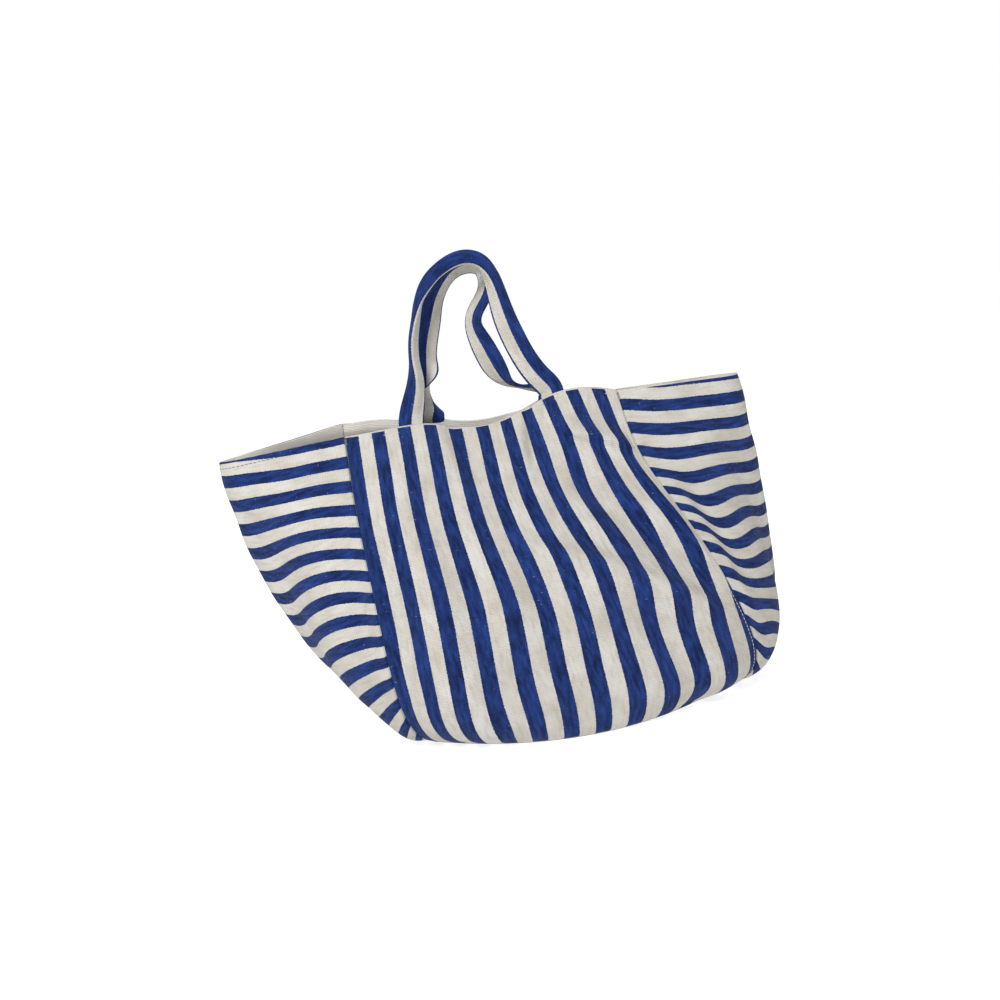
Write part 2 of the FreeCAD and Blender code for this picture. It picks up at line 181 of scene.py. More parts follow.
# bulges and hollows: centre, radii, height, turn in degrees
FRONT_HOLLOWS = [((102, 282), (15, 24), -7.0, 0), ((108, 205), (28, 46), 4.5, 0),
                 ((183, 232), (26, 44), 4.5, 0), ((278, 62), (34, 18), 3.5, 15),
                 ((60, 40), (24, 30), 2.0, 0)]
LEFT_FOLDS = [((52, 50), (56, 230), 24, 4.0, 26, 0.25), ((14, 150), (20, 262), 12, -5.0, 14, 0.3),
              ((92, 30), (96, 190), 18, -2.5, 18, 0.3), ((198, 50), (194, 230), 24, 4.0, 26, 0.25),
              ((158, 30), (154, 190), 18, -2.5, 18, 0.3)]
RIGHT_FOLDS = [((8, 108), (10, 228), 9, 3.5, 8, 0.2), ((27, 90), (24, 240), 13, -3.0, 13, 0.3),
               ((62, 30), (66, 230), 20, 1.6, 20, 0.3), ((94, 40), (92, 220), 15, -1.5, 15, 0.3),
               ((190, 50), (186, 230), 22, 3.5, 22, 0.3)]
BACK_FOLDS = [((62, -10), (84, 90), 14, -4.5, 13, 0.3), ((216, -10), (194, 80), 14, -4.5, 12, 0.3),
              ((40, 110), (96, 250), 18, -5.0, 24, 0.3), ((290, 90), (240, 250), 20, -6.0, 24, 0.3),
              ((150, 140), (168, 330), 20, 2.5, 22, 0.3)]
BACK_HOLLOWS = [((120, 220), (40, 50), 3.0, 0), ((210, 250), (36, 44), 3.0, 0)]


# ---- curves and grids ---------------------------------------------------------------------------
def cubic(knots, values, at):
    """Natural cubic spline through values at the knots, read at other places."""
    gaps = np.diff(knots)
    count = len(knots)
    system = np.eye(count)
    sides = np.zeros_like(values)
    slopes = np.diff(values, axis=0) / gaps[:, None]
    for i in range(1, count - 1):
        system[i, i - 1:i + 2] = gaps[i - 1], 2 * (gaps[i - 1] + gaps[i]), gaps[i]
        sides[i] = 6 * (slopes[i] - slopes[i - 1])
    bends = np.linalg.solve(system, sides)
    span = np.clip(np.searchsorted(knots, at, side="right") - 1, 0, count - 2)
    gap = gaps[span][:, None]
    left = (knots[span + 1] - at)[:, None]
    right = (at - knots[span])[:, None]
    return (bends[span] * left ** 3 + bends[span + 1] * right ** 3) / (6 * gap) \
        + (values[span] / gap - bends[span] * gap / 6) * left \
        + (values[span + 1] / gap - bends[span + 1] * gap / 6) * right


def arc_lengths(points):
    return np.r_[0, np.cumsum(np.linalg.norm(np.diff(points, axis=0), axis=1))]


def along_curve(points, shares):
    """Points at the given shares of the length of a smooth curve through the given points."""
    points = np.asarray(points, float)
    knots = arc_lengths(points)
    fine = np.linspace(0, knots[-1], 12 * len(points))
    lengths = arc_lengths(cubic(knots, points, fine))
    return cubic(knots, points, np.interp(np.asarray(shares) * lengths[-1], lengths, fine))


def wall_rows(left_seam, right_seam, bulge, middle_height, rim_height, side):
    """Key points of the front (side -1) or back (side +1) wall, row by row, in metres."""
    rows = []
    for level, (left, right) in enumerate(zip(left_seam, right_seam)):
        row = []
        shares = BASE_EDGE_SHARE if level < 2 else BULGE_SHARE
        for index, (column, share) in enumerate(zip(WALL_COLUMNS, shares)):
            x, y, z = (left[axis] + (right[axis] - left[axis]) * column for axis in range(3))
            z += (middle_height[level] - (left[2] + right[2]) / 2) * math.sin(math.pi * column)
            if level == len(left_seam) - 1:
                z = rim_height[index]
            row.append((x * MM, (y + side * bulge[level] * share) * MM, z * MM))
        rows.append(row)
    return rows


def gusset_rows(front_seam, fold_line, back_seam):
    """Key points of a gusset, from the front seam out to its fold line and back to the back seam."""
    rows = []
    for front, ridge, back, fullness in zip(front_seam, fold_line, back_seam, GUSSET_FULLNESS):
        halves = []
        for seam in (front, back):
            half = []
            for column in GUSSET_COLUMNS:
                depth = (1 - column ** fullness) ** (1 / fullness)
                half.append(((seam[0] + (ridge[0] - seam[0]) * column) * MM, seam[1] * depth * MM,
                             (seam[2] + (ridge[2] - seam[2]) * column) * MM))
            halves.append(half)
        rows.append(halves[0] + halves[1][-2::-1])
    return rows


def spread(length, edge):
    """Shares from 0 to 1: fine steps within the rolled edges, even steps between them."""
    roll = edge * np.array([0, 0.12, 0.27, 0.45, 0.65, 0.85]) / length
    middle = np.linspace(edge / length, 1 - edge / length, int(length / GRID_STEP))
    return np.r_[roll, middle, 1 - roll[::-1]]


class Wall:
    """A wall's smooth surface, sampled on a grid: rows from the base edge up, columns left to right.

    u runs across the cloth and v down from the rim, both in metres on the flat cloth.
    """

    def __init__(self, rows, width, height):
        self.across = spread(width, SEAM_ROLL)
        self.up = spread(height, RIM_ROLL)
        columns = [along_curve(column, self.up) for column in zip(*rows)]
        self.points = np.array([along_curve(row, self.across) for row in zip(*columns)])
        self.u = np.broadcast_to(self.across * width, self.points.shape[:2])
        self.v = np.broadcast_to(((1 - self.up) * height)[:, None], self.points.shape[:2])
        self.width, self.height = width, height
        self.stripes = self.u
        middle = self.points[len(self.up) // 2, len(self.across) // 2]
        raw = cross_normals(self.points)
        outward = raw[len(self.up) // 2, len(self.across) // 2] @ (middle * (1, 1, 0))
        self.sign = 1 if outward > 0 else -1

    def normals(self):
        return cross_normals(self.points) * self.sign

    def push(self, amount):
        """Moves the surface along its normals, outwards where amount is positive."""
        self.points = self.points + self.normals() * amount[..., None]


def stripe_shift(wall, places, shifts, mirrored=True):
    """Shift of a wall's stripes at every grid point, smooth between the given places."""
    out = wall.across * wall.width
    if mirrored:
        out = np.minimum(out, wall.width - out)
    rows = cubic(np.array(STRIPE_DROPS) * MM, np.array(shifts, float) * MM, wall.v[:, 0])
    return cubic(np.array(places) * MM, rows.T, out).T


def cross_normals(grid):
    normals = np.cross(np.gradient(grid, axis=1), np.gradient(grid, axis=0))
    return normals / np.maximum(np.linalg.norm(normals, axis=2, keepdims=True), 1e-12)


def smoothstep(low, high, x):
    share = np.clip((x - low) / (high - low), 0, 1)
    return share * share * (3 - 2 * share)


def fold(u, v, start, end, width, height, far_width, fade):
    """Soft ridge, or valley where height is negative, along a line on the cloth, all in metres.

    width is its half width on the left of the line's direction, far_width that on the right.
    """
    start, end = np.array(start), np.array(end)
    length = np.linalg.norm(end - start)
    direction = (end - start) / length
    along = ((u - start[0]) * direction[0] + (v - start[1]) * direction[1]) / length
    aside = (u - start[0]) * direction[1] - (v - start[1]) * direction[0]
    reach = np.where(aside > 0, width, far_width)
    ends = smoothstep(-fade, fade, along) * smoothstep(-fade, fade, 1 - along)
    return height * np.exp(-(aside / reach) ** 2) * ends


def dent(u, v, centre, radii, height, angle):
    """Round bulge, or hollow where height is negative."""
    turn = math.radians(angle)
    across = (u - centre[0]) * math.cos(turn) + (v - centre[1]) * math.sin(turn)
    down = (v - centre[1]) * math.cos(turn) - (u - centre[0]) * math.sin(turn)
    return height * np.exp(-(across / radii[0]) ** 2 - (down / radii[1]) ** 2)


def ripple(u, v, wavelength, height, seed):
    """Slight unevenness: a few waves that cross at random."""
    random = np.random.default_rng(seed)
    total = np.zeros(u.shape)
    for _ in range(RIPPLE_WAVES):
        angle = random.uniform(0, math.pi)
        scale = wavelength * random.uniform(0.7, 1.5)
        phase = random.uniform(0, 2 * math.pi)
        total += np.sin((u * math.cos(angle) + v * math.sin(angle)) * 2 * math.pi / scale + phase)
    return total * height / math.sqrt(RIPPLE_WAVES)


def edge_roll(distance, radius):
    """Depth by which an edge rolls inwards, a quarter circle over the last stretch of cloth."""
    inside = np.clip(radius - distance, 0, radius)
    return radius - np.sqrt(np.maximum(radius ** 2 - inside ** 2, 0))


# ---- meshes -------------------------------------------------------------------------------------
def add_mesh(name, vertices, faces, cloth=None):
    """A mesh object, with the flat cloth's own coordinates kept in the attribute "cloth"."""
    mesh = bpy.data.meshes.new(name)
    mesh.from_pydata(np.asarray(vertices).tolist(), [], faces)
    mesh.validate()
    if cloth is not None:
        layer = mesh.attributes.new("cloth", "FLOAT_VECTOR", "POINT")
        layer.data.foreach_set("vector", np.asarray(cloth, np.float32).ravel())
    mesh.polygons.foreach_set("use_smooth", [True] * len(mesh.polygons))
    mesh.update()
    piece = bpy.data.objects.new(name, mesh)
    bpy.context.scene.collection.objects.link(piece)
    return piece


def grid_faces(rows, columns, offset, flip):
    faces = []
    for i in range(rows - 1):
        for j in range(columns - 1):
            a = offset + i * columns + j
            face = (a, a + 1, a + columns + 1, a + columns)
            faces.append(face[::-1] if flip else face)
    return faces


def shell(name, outer, inner, u, v, outward, stripes=None):
    """Closed sheet between two grids of the same size; outward is 1, or -1 to turn its faces over."""
    rows, columns = outer.shape[:2]
    count = rows * columns
    flip = outward < 0
    faces = grid_faces(rows, columns, 0, flip) + grid_faces(rows, columns, count, not flip)
    border = list(range(columns)) + [i * columns + columns - 1 for i in range(1, rows)]
    border += [(rows - 1) * columns + j for j in range(columns - 2, -1, -1)]
    border += [i * columns for i in range(rows - 2, 0, -1)]
    for a, b in zip(border, border[1:] + border[:1]):
        side = (a, a + count, b + count, b)
        faces.append(side[::-1] if flip else side)
    vertices = np.concatenate([outer.reshape(-1, 3), inner.reshape(-1, 3)])
    cloth = np.stack([u, v, u if stripes is None else stripes], axis=2).reshape(-1, 3)
    return add_mesh(name, vertices, faces, np.concatenate([cloth, cloth]))


def canvas(name, wall, material, replaced):
    """A wall's outer canvas: its edges rolled into the seams and its top folded over the rim."""
    across = np.minimum(wall.across, 1 - wall.across) * wall.width
    rim = wall.v
    normals = wall.normals()
    depth = edge_roll(across, SEAM_ROLL)[None, :] + edge_roll(rim, RIM_ROLL)
    outer = wall.points - normals * depth[..., None]
    inner = wall.points - normals * np.maximum(depth + 0.35 * CANVAS, CANVAS)[..., None]
    piece = shell(name, outer, inner, wall.u, wall.v, wall.sign, wall.stripes)
    return finish_piece(piece, material, "bag", replaced)


def inner_cloth(name, wall, top, foot, offset, material, replaced):
    """Part of the cream cloth inside a wall, between two distances below the rim."""
    down = wall.v[:, 0]
    rows = np.where((down >= top) & (down <= foot))[0][::2]
    sides = wall.across * wall.width
    columns = np.where((sides >= INNER_INSET) & (sides <= wall.width - INNER_INSET))[0]
    columns = np.r_[columns[:-1:2], columns[-1]]
    cut = np.ix_(rows, columns)
    normals = wall.normals()[cut]
    points = wall.points[cut]
    puff = ripple(wall.u[cut], wall.v[cut], 60 * MM, 0.25 * MM, 11)[..., None]
    near_rim = (1 - smoothstep(0, RIM_BEND, wall.v[cut]))[..., None]
    offset = offset + puff - (offset - RIM_FACING_OFFSET) * near_rim
    outer = points - normals * offset
    inner = points - normals * (offset + LINING)
    piece = shell(name, outer, inner, wall.u[cut], wall.v[cut], wall.sign)
    return finish_piece(piece, material, "bag", replaced)


def finish_piece(piece, material, body, replaced):
    """Material, slot and CAD nodes of a piece, and its body if one is given."""
    piece.data.materials.append(material)
    if body:
        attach(piece, body)
    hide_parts(*replaced)
    return piece


# ---- materials ----------------------------------------------------------------------------------
BLUE = (0.0012, 0.0085, 0.0520)
BLUE_WORN = (0.0130, 0.0430, 0.2050)
CREAM = (0.600, 0.585, 0.550)
CREAM_TAN = (0.380, 0.325, 0.245)
# painted light: the cream inside the bag is lighter than the outer cream, to make up for the shade inside
INSIDE_CREAM_LIGHTENED = (0.780, 0.740, 0.680)
THREAD_COLOUR = (0.60, 0.56, 0.49)
THREAD_BLUE = (0.020, 0.045, 0.150)


class Nodes:
    """Short calls that add nodes to a material and link them."""

    def __init__(self, name):
        self.material = bpy.data.materials.new(name)
        self.material.use_nodes = True
        self.tree = self.material.node_tree
        self.shader = self.tree.nodes["Principled BSDF"]

    def put(self, target, value):
        if isinstance(value, bpy.types.NodeSocket):
            self.tree.links.new(value, target)
        else:
            target.default_value = value

    def maths(self, operation, *values):
        node = self.tree.nodes.new("ShaderNodeMath")
        node.operation = operation
        for socket, value in zip(node.inputs, values):
            self.put(socket, value)
        return node.outputs[0]

    def noise(self, vector, scale, detail=3.0, roughness=0.55, stretch=(1, 1, 0)):
        mapping = self.tree.nodes.new("ShaderNodeMapping")
        mapping.inputs["Scale"].default_value = stretch
        self.put(mapping.inputs["Vector"], vector)
        node = self.tree.nodes.new("ShaderNodeTexNoise")
        self.put(node.inputs["Vector"], mapping.outputs[0])
        self.put(node.inputs["Scale"], scale)
        node.inputs["Detail"].default_value = detail
        node.inputs["Roughness"].default_value = roughness
        return node.outputs["Fac"]

    def mix(self, share, first, second):
        node = self.tree.nodes.new("ShaderNodeMix")
        node.data_type = "RGBA"
        colours = [socket for socket in node.inputs if socket.type == "RGBA"]
        self.put(node.inputs["Factor"], share)
        self.put(colours[0], first if isinstance(first, bpy.types.NodeSocket) else (*first, 1))
        self.put(colours[1], second if isinstance(second, bpy.types.NodeSocket) else (*second, 1))
        return [socket for socket in node.outputs if socket.type == "RGBA"][0]

    def range(self, value, low, high, to_low=0.0, to_high=1.0):
        node = self.tree.nodes.new("ShaderNodeMapRange")
        for name, number in (("Value", value), ("From Min", low), ("From Max", high),
                             ("To Min", to_low), ("To Max", to_high)):
            self.put(node.inputs[name], number)
        return node.outputs[0]

    def cloth_axes(self):
        """The flat cloth's coordinates, in metres: the vector, u, v and the stripes' own."""
        attribute = self.tree.nodes.new("ShaderNodeAttribute")
        attribute.attribute_name = "cloth"
        split = self.tree.nodes.new("ShaderNodeSeparateXYZ")
        self.put(split.inputs[0], attribute.outputs["Vector"])
        return attribute.outputs["Vector"], *split.outputs[:3]

    def bump(self, height, distance, strength, before=None):
        node = self.tree.nodes.new("ShaderNodeBump")
        node.inputs["Distance"].default_value = distance
        node.inputs["Strength"].default_value = strength
        self.put(node.inputs["Height"], height)
        if before:
            self.put(node.inputs["Normal"], before)
        return node.outputs[0]


YARN = 1.5 * MM                    # pitch of the weft ribs
WARP = 1.1 * MM
STRIPE_EDGE = 0.012                # how softly the colours change, as a share of a stripe pair


def weave_height(nodes, u, v, vector, rib_along):
    """Height of a plain weave: weft ribs, crossed by finer warp threads, slightly uneven."""
    wander = nodes.maths("MULTIPLY", nodes.noise(vector, 90.0, 2.0), 0.9 * MM)
    rib, cross = (v, u) if rib_along == "u" else (u, v)
    rib = nodes.maths("ADD", rib, wander)
    wave = nodes.maths("SINE", nodes.maths("MULTIPLY", rib, 2 * math.pi / YARN))
    fine = nodes.maths("SINE", nodes.maths("MULTIPLY", cross, 2 * math.pi / WARP))
    crossing = nodes.maths("MULTIPLY", wave, fine)
    return nodes.maths("ADD", nodes.maths("MULTIPLY", wave, 0.6), nodes.maths("MULTIPLY", crossing, 0.5))


def canvas_material(name, stripes_along, first_blue, blue_share=0.5, pair=STRIPE_PAIR, rim=None):
    """Yarn-dyed striped canvas. stripes_along "v" counts the stripes across u, and the other way."""
    nodes = Nodes(name)
    vector, u, v, across = nodes.cloth_axes()

    # the colours change at whole yarns, so a stripe's edge is slightly ragged
    ragged = nodes.maths("SUBTRACT", nodes.noise(vector, 620.0, 1.0), 0.5)
    drift = nodes.maths("SUBTRACT", nodes.noise(vector, 14.0, 2.0), 0.5)
    place = nodes.maths("ADD", across, nodes.maths("MULTIPLY", ragged, 1.3 * MM))
    place = nodes.maths("ADD", place, nodes.maths("MULTIPLY", drift, 1.6 * MM))
    share = nodes.maths("FRACT", nodes.maths("DIVIDE", nodes.maths("SUBTRACT", place, first_blue), pair))
    rise = nodes.range(share, 0.0, STRIPE_EDGE)
    fall = nodes.range(share, blue_share, blue_share + STRIPE_EDGE, 1.0, 0.0)
    is_blue = nodes.maths("MULTIPLY", rise, fall)
    if rim == "cream":
        is_blue = nodes.maths("MULTIPLY", is_blue, nodes.range(v, 2.0 * MM, 2.4 * MM))
    elif rim == "blue":
        is_blue = nodes.maths("MAXIMUM", is_blue, nodes.range(v, 1.8 * MM, 2.2 * MM, 1.0, 0.0))

    height = weave_height(nodes, u, v, vector, "u" if stripes_along == "v" else "v")
    patches = nodes.range(nodes.noise(vector, 24.0, 4.0, 0.6), 0.36, 0.66)
    lengthwise = (1.0, 0.22, 0.0) if stripes_along == "v" else (0.22, 1.0, 0.0)
    streaks = nodes.noise(vector, 260.0, 2.0, 0.6, lengthwise)
    worn = nodes.maths("ADD", nodes.range(streaks, 0.38, 0.64, 0.0, 0.65),
                       nodes.maths("MULTIPLY", patches, 0.35))
    blue = nodes.mix(worn, BLUE, BLUE_WORN)
    cream = nodes.mix(nodes.maths("MULTIPLY", patches, 0.48), CREAM, CREAM_TAN)
    cream = nodes.mix(nodes.range(streaks, 0.48, 0.76, 0.0, 0.5), cream, CREAM_TAN)

    # slubs: short thick bits of pale yarn that show on the blue
    crosswise = (0.35, 1.0, 0.0) if stripes_along == "v" else (1.0, 0.35, 0.0)
    slub = nodes.noise(vector, 520.0, 1.0, 0.5, crosswise)
    is_slub = nodes.range(slub, 0.735, 0.775)
    blue = nodes.mix(nodes.maths("MULTIPLY", is_slub, 0.22), blue, CREAM)
    tan_slub = nodes.maths("MULTIPLY", nodes.range(slub, 0.22, 0.27, 1.0, 0.0), 0.30)
    cream = nodes.mix(tan_slub, cream, CREAM_TAN)
    colour = nodes.mix(is_blue, cream, blue)

    # painted shade: the valleys between yarns are darkened towards black in the base colour
    valley = nodes.range(height, -1.0, 0.6, 0.78, 1.0)
    yarn_shaded_colour = nodes.mix(valley, (0.0, 0.0, 0.0), colour)
    nodes.put(nodes.shader.inputs["Base Color"], yarn_shaded_colour)
    rough = nodes.range(nodes.noise(vector, 340.0, 2.0), 0.3, 0.7, 0.80, 0.96)
    nodes.put(nodes.shader.inputs["Roughness"], rough)
    nodes.shader.inputs["Specular IOR Level"].default_value = 0.15
    nodes.shader.inputs["Sheen Weight"].default_value = 0.03
    nodes.shader.inputs["Sheen Roughness"].default_value = 0.6
    fibres = nodes.noise(vector, 1500.0, 2.0, 0.7)
    slubs = nodes.bump(nodes.maths("ADD", slub, fibres), 0.25 * MM, 0.5)
    nodes.put(nodes.shader.inputs["Normal"], nodes.bump(height, 0.28 * MM, 0.85, slubs))
    return nodes.material


def plain_canvas_material(name, colour, darker):
    """Canvas or thread of one colour, with darker patches and slubs, and painted shade in the valleys between
    yarns.
    """
    nodes = Nodes(name)
    vector, u, v, _ = nodes.cloth_axes()
    height = weave_height(nodes, u, v, vector, "u")
    patches = nodes.range(nodes.noise(vector, 30.0, 4.0, 0.6), 0.35, 0.7, 0.0, 0.6)
    slub = nodes.noise(vector, 480.0, 1.0, 0.5, (0.35, 1.0, 0.0))
    mixed = nodes.mix(patches, colour, darker)
    mixed = nodes.mix(nodes.range(slub, 0.66, 0.74, 0.0, 0.4), mixed, darker)
    # painted shade: the valleys between yarns are darkened towards black in the base colour
    valley = nodes.range(height, -1.0, 0.6, 0.8, 1.0)
    nodes.put(nodes.shader.inputs["Base Color"], nodes.mix(valley, (0.0, 0.0, 0.0), mixed))
    nodes.put(nodes.shader.inputs["Roughness"], nodes.range(slub, 0.3, 0.7, 0.84, 0.96))
    nodes.shader.inputs["Specular IOR Level"].default_value = 0.22
    nodes.put(nodes.shader.inputs["Normal"], nodes.bump(height, 0.22 * MM, 0.8))
    return nodes.material


# ---- straps -------------------------------------------------------------------------------------
def wall_spot(wall, x, down):
    """Point and outward normal of a wall at a given x and distance below the rim."""
    row = np.argmin(np.abs(wall.v[:, 0] - down))
    column = np.argmin(np.abs(wall.points[row, :, 0] - x))
    return wall.points[row, column], wall.normals()[row, column]


def strap_line(route, wall):
    """Centre, width and face directions, distance and crease along a strap and its sewn-in ends."""
    depth = CANVAS + 0.5 * MM + STRAP_THICKNESS / 2
    drops = (STRAP_END, STRAP_END * 0.66, STRAP_END * 0.33, 3 * MM)
    starts, ends = [], []
    for spots, spot, side in ((starts, route[0], 1), (ends, route[-1], -1)):
        for drop in drops:
            place, normal = wall_spot(wall, spot[0] * MM, drop)
            # a sewn-in end lies flat against the wall, which may face a little to one side
            slant = side * math.degrees(math.atan(-normal[0] / normal[1]))
            flat = 180 * round(spot[3] / 180) + slant
            spots.append((spot[0] * MM, *(place - normal * depth)[1:], flat, 0))
    free = [(x * MM, y * MM, z * MM, turn, crease) for x, y, z, turn, crease in route]
    points, turns = np.split(np.array(starts + free + ends[::-1], float), [3], axis=1)
    knots = arc_lengths(points)
    count = int(knots[-1] / GRID_STEP)
    at = np.linspace(0, knots[-1], count)
    centre = cubic(knots, points, at)
    soft = np.hanning(13) / np.hanning(13).sum()
    turn, crease = (np.convolve(np.pad(np.radians(np.interp(at, knots, angles)), 6, mode="edge"), soft,
                                mode="valid") for angles in turns.T)
    along = np.gradient(centre, axis=0)
    along /= np.linalg.norm(along, axis=1, keepdims=True)
    face = np.array((0.0, -1.0, 0.0)) - along * (along @ np.array((0.0, -1.0, 0.0)))[:, None]
    face /= np.linalg.norm(face, axis=1, keepdims=True)
    left = np.cross(face, along)
    width = left * np.cos(turn)[:, None] + face * np.sin(turn)[:, None]
    return centre, width, np.cross(along, width), at, crease


def strap_section():
    """Outline of the folded strap: rounded edges and a groove along each row of stitching."""
    half = STRAP_WIDTH / 2
    across = half * np.sin(np.linspace(-math.pi / 2, math.pi / 2, 25))
    height = STRAP_THICKNESS / 2 * np.sqrt(np.clip(1 - np.abs(across / half) ** 9, 0, 1))
    height -= 0.30 * MM * np.exp(-((np.abs(across) - half + STRAP_STITCH) / (0.9 * MM)) ** 2)
    height = np.maximum(height, 0)
    return np.r_[across, across[-2:0:-1]], np.r_[height, -height[-2:0:-1]]


def folded_strap(across, crease):
    """Where each line along a strap goes when the strap folds along its middle by a crease angle."""
    half = crease[:, None] / 2
    soft = 1.6 * MM
    depth = np.sqrt(across ** 2 + soft ** 2) - soft
    slope = (across / np.sqrt(across ** 2 + soft ** 2))[None, :]
    spread_out = across[None, :] * np.cos(half)
    back = depth[None, :] * np.sin(half)
    return spread_out, back, np.cos(half), np.sin(half) * slope


def strap(name, route, wall, material, threads, replaced, seed):
    """One strap and its stitching, from its sewn-in left end over the top to its right end."""
    centre, width, face, at, crease = strap_line(route, wall)
    across, height = strap_section()
    wobble = ripple(at, np.zeros(at.shape), 55 * MM, 0.35 * MM, seed)
    ring = len(across)
    narrow = (1 + wobble / STRAP_WIDTH)[:, None, None]
    spread_out, back, normal_out, normal_side = folded_strap(across, crease)
    half_cos, half_sin = np.cos(crease / 2)[:, None, None], np.sin(crease / 2)[:, None, None]
    across_way, face_way = width[:, None], face[:, None]
    # folding moves the strap along its blue half, so that a folded strap stays centred on its line
    blue = across_way * half_cos - face_way * half_sin
    points = centre[:, None] - blue * (STRAP_WIDTH / 4 * half_sin) \
        + across_way * spread_out[..., None] * narrow - face_way * back[..., None] \
        + (face_way * normal_out[..., None] + across_way * normal_side[..., None]) * height[None, :, None]
    faces = []
    for i in range(len(at) - 1):
        for j in range(ring):
            a, b = i * ring + j, i * ring + (j + 1) % ring
            faces.append((a, b, b + ring, a + ring))
    faces.append(tuple(range(ring))[::-1])
    faces.append(tuple((len(at) - 1) * ring + j for j in range(ring)))
    cloth = np.zeros(points.shape)
    cloth[..., 0] = across[None, :] + STRAP_WIDTH / 2
    cloth[..., 1] = at[:, None]
    cloth[..., 2] = cloth[..., 0]
    piece = add_mesh(name, points.reshape(-1, 3), faces, cloth.reshape(-1, 3))
    finish_piece(piece, material, None, replaced)

    pieces = [piece]
    stations = np.arange(STRAP_END, at[-1] - STRAP_END, STITCH_PITCH)
    for side, colour in ((-1, "cream"), (1, "blue")):
        places = []
        for layer in (-1, 1):
            line = side * (STRAP_WIDTH / 2 - STRAP_STITCH)
            column = int(np.argmin(np.abs(across - line) + np.where(height * layer > 0, 0, 1)))
            path = points[:, column]
            heading = np.gradient(path, axis=0)
            heading /= np.linalg.norm(heading, axis=1, keepdims=True)
            beside = points[:, (column + 1) % ring] - points[:, column - 1]
            normal = np.cross(beside, heading)
            normal /= np.linalg.norm(normal, axis=1, keepdims=True)
            for start in stations:
                i = int(np.searchsorted(at, start))
                places.append((path[i], heading[i], normal[i]))
        pieces.append(stitches(name + "_stitching_" + colour, places, threads[colour]))
    return pieces


def stitches(name, places, material):
    """One mesh of short thread stitches, each a rounded rod that lies along its direction."""
    rings = ((-1.0, 0.35), (-0.7, 0.95), (0.0, 1.1), (0.7, 0.95), (1.0, 0.35))
    sides = 6
    vertices, faces = [], []
    for spot, along, normal in places:
        beside = np.cross(along, normal)
        offset = len(vertices)
        for reach, fat in rings:
            for k in range(sides):
                angle = 2 * math.pi * k / sides
                vertices.append(spot + along * reach * STITCH / 2
                                + (beside * math.cos(angle) + normal * math.sin(angle)) * THREAD_RADIUS * fat)
        for r in range(len(rings) - 1):
            for k in range(sides):
                a, b = offset + r * sides + k, offset + r * sides + (k + 1) % sides
                faces.append((a, b, b + sides, a + sides))
        faces.append(tuple(offset + k for k in range(sides))[::-1])
        faces.append(tuple(offset + (len(rings) - 1) * sides + k for k in range(sides)))
    piece = add_mesh(name, vertices, faces)
    piece.data.materials.append(material)
    return piece


def seam_line_places(wall, column_distance=None, rim_distance=None):
    """Places for stitches along a line on a wall, below the rim or in from a side.

    A positive column distance counts from the wall's start edge, a negative one from its end edge.
    """
    normals = wall.normals()
    if rim_distance is not None:
        row = np.argmin(np.abs(wall.v[:, 0] - rim_distance))
        line, up = wall.points[row], normals[row]
    else:
        edge = wall.across * wall.width
        target = column_distance if column_distance > 0 else wall.width + column_distance
        column = np.argmin(np.abs(edge - target))
        line, up = wall.points[:, column], normals[:, column]
    lengths = arc_lengths(line)
    places = []
    for at in np.arange(STITCH_START, lengths[-1] - STITCH_START, STITCH_PITCH):
        spot = np.array([np.interp(at, lengths, line[:, axis]) for axis in range(3)])
        ahead = np.array([np.interp(at + STITCH, lengths, line[:, axis]) for axis in range(3)])
        normal = up[min(np.searchsorted(lengths, at), len(up) - 1)]
        along = (ahead - spot) / np.linalg.norm(ahead - spot)
        places.append((spot + normal * 0.05 * MM, along, normal))
    return places


def wall_stripe(wall, spot, down):
    """The stripe coordinate of the wall nearest to a spot at a given distance below the rim."""
    row = np.argmin(np.abs(wall.v[:, 0] - down))
    return wall.stripes[row, np.argmin(np.linalg.norm(wall.points[row] - spot, axis=1))]


# ---- base ---------------------------------------------------------------------------------------
def base_sheet(name, inset, bottom, thickness, material, replaced, lift=0.0):
    """Cloth under or inside the bag, its four edges bowed outwards between the corners."""
    rows, columns = 61, 121
    along = np.sin(np.linspace(-math.pi / 2, math.pi / 2, columns))[None, :]
    over = np.sin(np.linspace(-math.pi / 2, math.pi / 2, rows))[:, None]
    corner_x, corner_y = CORNER_X * MM - inset, CORNER_Y * MM - inset
    bow = np.where(over < 0, BASE_FRONT - CORNER_Y, BASE_BACK - CORNER_Y) * MM
    x = along * (corner_x + (BASE_X - CORNER_X) * MM * (1 - over ** 2))
    y = over * (corner_y + bow * (1 - along ** 2))
    wave = lift * (0.5 + ripple(x, y, 110 * MM, 0.25, 5))
    under = np.stack([x, y, np.full_like(x, bottom)], axis=2)
    upper = np.stack([x, y, bottom + thickness + wave], axis=2)
    piece = shell(name, upper, under, x + PANEL_WIDTH / 2, y, 1)
    return finish_piece(piece, material, "bag", replaced)


# ---- the bag ------------------------------------------------------------------------------------
front = Wall(wall_rows(FRONT_LEFT_SEAM, FRONT_RIGHT_SEAM, FRONT_BULGE, FRONT_MIDDLE_HEIGHT,
                       FRONT_RIM_HEIGHT, -1), PANEL_WIDTH, PANEL_HEIGHT)
back = Wall(wall_rows(BACK_LEFT_SEAM, BACK_RIGHT_SEAM, BACK_BULGE, BACK_MIDDLE_HEIGHT,
                      BACK_RIM_HEIGHT, 1), PANEL_WIDTH, PANEL_HEIGHT)
left = Wall(gusset_rows(FRONT_LEFT_SEAM, LEFT_FOLD, BACK_LEFT_SEAM), GUSSET_WIDTH, PANEL_HEIGHT)
right = Wall(gusset_rows(FRONT_RIGHT_SEAM, RIGHT_FOLD, BACK_RIGHT_SEAM), GUSSET_WIDTH, PANEL_HEIGHT)

